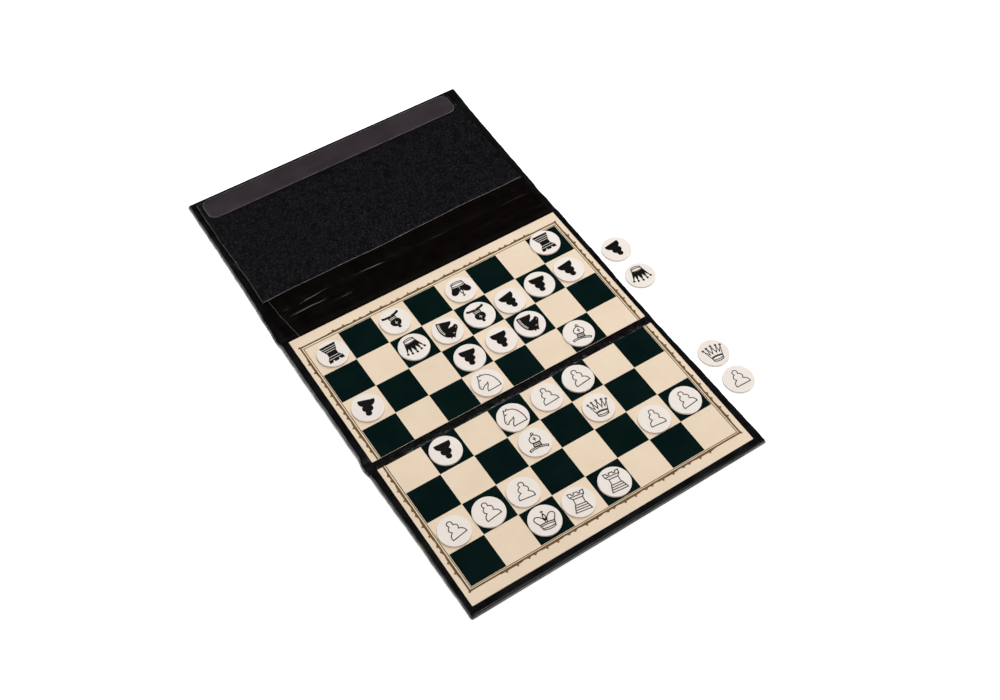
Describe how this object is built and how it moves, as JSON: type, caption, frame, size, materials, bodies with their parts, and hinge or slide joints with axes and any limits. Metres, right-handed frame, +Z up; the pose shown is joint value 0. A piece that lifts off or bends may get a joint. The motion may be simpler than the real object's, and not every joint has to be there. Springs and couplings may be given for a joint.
{
  "type": "folding magnetic chess set",
  "caption": "Folding magnetic travel chess wallet: hinged vinyl panels with a printed board in two halves, a cover flap with pocket and closing magnet, and flat disc men that lift off.",
  "frame": {"origin": "the middle of the middle panel's underside, on the table", "axes": "+X along the files from a to h, +Y from White's side to Black's, +Z up from the table"},
  "size_m": [0.1908, 0.2867, 0.0041],
  "materials": {
    "vinyl": "satin black leatherette",
    "vinyl_smooth": "smooth glossy black",
    "vinyl_grained": "pebbled black",
    "greyboard": "matt",
    "steel": "rolled",
    "printed_cream": "satin print",
    "printed_dark": "satin print",
    "magnet_strip": "matt magnet sheet",
    "white_man": "off-white face with outlined symbol",
    "black_man": "off-white face with solid symbol"
  },
  "bodies": {
    "middle_panel": {"middle_cover": "vinyl", "middle_stiffener": "greyboard", "middle_steel": "steel", "middle_rim": "vinyl", "upper_print": "printed_cream", "upper_dark_squares": "printed_dark"},
    "fold_spine": {"fold_spine_strip": "vinyl", "fold_spine_liner": "vinyl_smooth"},
    "lower_panel": {"lower_cover": "vinyl", "lower_stiffener": "greyboard", "lower_steel": "steel", "lower_rim": "vinyl", "lower_print": "printed_cream", "lower_dark_squares": "printed_dark"},
    "top_spine": {"top_spine_strip": "vinyl", "top_spine_liner": "vinyl_smooth"},
    "flap": {"flap_cover": "vinyl", "flap_stiffener": "greyboard", "flap_liner": "vinyl_smooth", "pocket_weld": "vinyl_grained", "pocket_sheet": "vinyl_grained", "closing_magnet": "magnet_strip"},
    "white_king": {"white_king": "white_man"},
    "white_queen": {"white_queen": "white_man"},
    "white_queen_spare": {"white_queen_spare": "white_man"},
    "white_rook_1": {"white_rook_1": "white_man"},
    "white_rook_2": {"white_rook_2": "white_man"},
    "white_bishop_1": {"white_bishop_1": "white_man"},
    "white_bishop_2": {"white_bishop_2": "white_man"},
    "white_knight_1": {"white_knight_1": "white_man"},
    "white_knight_2": {"white_knight_2": "white_man"},
    "white_pawn_1": {"white_pawn_1": "white_man"},
    "white_pawn_2": {"white_pawn_2": "white_man"},
    "white_pawn_3": {"white_pawn_3": "white_man"},
    "white_pawn_4": {"white_pawn_4": "white_man"},
    "white_pawn_5": {"white_pawn_5": "white_man"},
    "white_pawn_6": {"white_pawn_6": "white_man"},
    "white_pawn_7": {"white_pawn_7": "white_man"},
    "white_pawn_8": {"white_pawn_8": "white_man"},
    "black_king": {"black_king": "black_man"},
    "black_queen": {"black_queen": "black_man"},
    "black_queen_spare": {"black_queen_spare": "black_man"},
    "black_rook_1": {"black_rook_1": "black_man"},
    "black_rook_2": {"black_rook_2": "black_man"},
    "black_bishop_1": {"black_bishop_1": "black_man"},
    "black_bishop_2": {"black_bishop_2": "black_man"},
    "black_knight_1": {"black_knight_1": "black_man"},
    "black_knight_2": {"black_knight_2": "black_man"},
    "black_pawn_1": {"black_pawn_1": "black_man"},
    "black_pawn_2": {"black_pawn_2": "black_man"},
    "black_pawn_3": {"black_pawn_3": "black_man"},
    "black_pawn_4": {"black_pawn_4": "black_man"},
    "black_pawn_5": {"black_pawn_5": "black_man"},
    "black_pawn_6": {"black_pawn_6": "black_man"},
    "black_pawn_7": {"black_pawn_7": "black_man"},
    "black_pawn_8": {"black_pawn_8": "black_man"}
  },
  "joints": [
    {"name": "board_fold", "type": "hinge", "parent": "middle_panel", "child": "fold_spine", "pos_m": [0, -0.04482, 0.0009], "axis": [1, 0, 0], "range_deg": [-90, 0]},
    {"name": "board_fold_far", "type": "hinge", "parent": "fold_spine", "child": "lower_panel", "pos_m": [0, -0.04972, 0.0009], "axis": [1, 0, 0], "range_deg": [-90, 0]},
    {"name": "flap_fold", "type": "hinge", "parent": "middle_panel", "child": "top_spine", "pos_m": [0, 0.04482, 0.0009], "axis": [-1, 0, 0], "range_deg": [-90, 0]},
    {"name": "flap_fold_far", "type": "hinge", "parent": "top_spine", "child": "flap", "pos_m": [0, 0.05722, 0.0009], "axis": [-1, 0, 0], "range_deg": [-92, 0]},
    {"name": "lift_white_king", "type": "slide", "parent": "lower_panel", "child": "white_king", "axis": [0, 0, 1], "range_m": [0, 0.03]},
    {"name": "lift_white_queen", "type": "slide", "parent": "lower_panel", "child": "white_queen", "axis": [0, 0, 1], "range_m": [0, 0.03]},
    {"name": "lift_white_queen_spare", "type": "slide", "parent": "middle_panel", "child": "white_queen_spare", "axis": [0, 0, 1], "range_m": [0, 0.03]},
    {"name": "lift_white_rook_1", "type": "slide", "parent": "lower_panel", "child": "white_rook_1", "axis": [0, 0, 1], "range_m": [0, 0.03]},
    {"name": "lift_white_rook_2", "type": "slide", "parent": "lower_panel", "child": "white_rook_2", "axis": [0, 0, 1], "range_m": [0, 0.03]},
    {"name": "lift_white_bishop_1", "type": "slide", "parent": "lower_panel", "child": "white_bishop_1", "axis": [0, 0, 1], "range_m": [0, 0.03]},
    {"name": "lift_white_bishop_2", "type": "slide", "parent": "middle_panel", "child": "white_bishop_2", "axis": [0, 0, 1], "range_m": [0, 0.03]},
    {"name": "lift_white_knight_1", "type": "slide", "parent": "lower_panel", "child": "white_knight_1", "axis": [0, 0, 1], "range_m": [0, 0.03]},
    {"name": "lift_white_knight_2", "type": "slide", "parent": "middle_panel", "child": "white_knight_2", "axis": [0, 0, 1], "range_m": [0, 0.03]},
    {"name": "lift_white_pawn_1", "type": "slide", "parent": "lower_panel", "child": "white_pawn_1", "axis": [0, 0, 1], "range_m": [0, 0.03]},
    {"name": "lift_white_pawn_2", "type": "slide", "parent": "lower_panel", "child": "white_pawn_2", "axis": [0, 0, 1], "range_m": [0, 0.03]},
    {"name": "lift_white_pawn_3", "type": "slide", "parent": "lower_panel", "child": "white_pawn_3", "axis": [0, 0, 1], "range_m": [0, 0.03]},
    {"name": "lift_white_pawn_4", "type": "slide", "parent": "lower_panel", "child": "white_pawn_4", "axis": [0, 0, 1], "range_m": [0, 0.03]},
    {"name": "lift_white_pawn_5", "type": "slide", "parent": "lower_panel", "child": "white_pawn_5", "axis": [0, 0, 1], "range_m": [0, 0.03]},
    {"name": "lift_white_pawn_6", "type": "slide", "parent": "lower_panel", "child": "white_pawn_6", "axis": [0, 0, 1], "range_m": [0, 0.03]},
    {"name": "lift_white_pawn_7", "type": "slide", "parent": "lower_panel", "child": "white_pawn_7", "axis": [0, 0, 1], "range_m": [0, 0.03]},
    {"name": "lift_white_pawn_8", "type": "slide", "parent": "middle_panel", "child": "white_pawn_8", "axis": [0, 0, 1], "range_m": [0, 0.03]},
    {"name": "lift_black_king", "type": "slide", "parent": "middle_panel", "child": "black_king", "axis": [0, 0, 1], "range_m": [0, 0.03]},
    {"name": "lift_black_queen", "type": "slide", "parent": "middle_panel", "child": "black_queen", "axis": [0, 0, 1], "range_m": [0, 0.03]},
    {"name": "lift_black_queen_spare", "type": "slide", "parent": "middle_panel", "child": "black_queen_spare", "axis": [0, 0, 1], "range_m": [0, 0.03]},
    {"name": "lift_black_rook_1", "type": "slide", "parent": "middle_panel", "child": "black_rook_1", "axis": [0, 0, 1], "range_m": [0, 0.03]},
    {"name": "lift_black_rook_2", "type": "slide", "parent": "middle_panel", "child": "black_rook_2", "axis": [0, 0, 1], "range_m": [0, 0.03]},
    {"name": "lift_black_bishop_1", "type": "slide", "parent": "middle_panel", "child": "black_bishop_1", "axis": [0, 0, 1], "range_m": [0, 0.03]},
    {"name": "lift_black_bishop_2", "type": "slide", "parent": "middle_panel", "child": "black_bishop_2", "axis": [0, 0, 1], "range_m": [0, 0.03]},
    {"name": "lift_black_knight_1", "type": "slide", "parent": "middle_panel", "child": "black_knight_1", "axis": [0, 0, 1], "range_m": [0, 0.03]},
    {"name": "lift_black_knight_2", "type": "slide", "parent": "middle_panel", "child": "black_knight_2", "axis": [0, 0, 1], "range_m": [0, 0.03]},
    {"name": "lift_black_pawn_1", "type": "slide", "parent": "middle_panel", "child": "black_pawn_1", "axis": [0, 0, 1], "range_m": [0, 0.03]},
    {"name": "lift_black_pawn_2", "type": "slide", "parent": "lower_panel", "child": "black_pawn_2", "axis": [0, 0, 1], "range_m": [0, 0.03]},
    {"name": "lift_black_pawn_3", "type": "slide", "parent": "middle_panel", "child": "black_pawn_3", "axis": [0, 0, 1], "range_m": [0, 0.03]},
    {"name": "lift_black_pawn_4", "type": "slide", "parent": "middle_panel", "child": "black_pawn_4", "axis": [0, 0, 1], "range_m": [0, 0.03]},
    {"name": "lift_black_pawn_5", "type": "slide", "parent": "middle_panel", "child": "black_pawn_5", "axis": [0, 0, 1], "range_m": [0, 0.03]},
    {"name": "lift_black_pawn_6", "type": "slide", "parent": "middle_panel", "child": "black_pawn_6", "axis": [0, 0, 1], "range_m": [0, 0.03]},
    {"name": "lift_black_pawn_7", "type": "slide", "parent": "middle_panel", "child": "black_pawn_7", "axis": [0, 0, 1], "range_m": [0, 0.03]},
    {"name": "lift_black_pawn_8", "type": "slide", "parent": "middle_panel", "child": "black_pawn_8", "axis": [0, 0, 1], "range_m": [0, 0.03]}
  ]
}
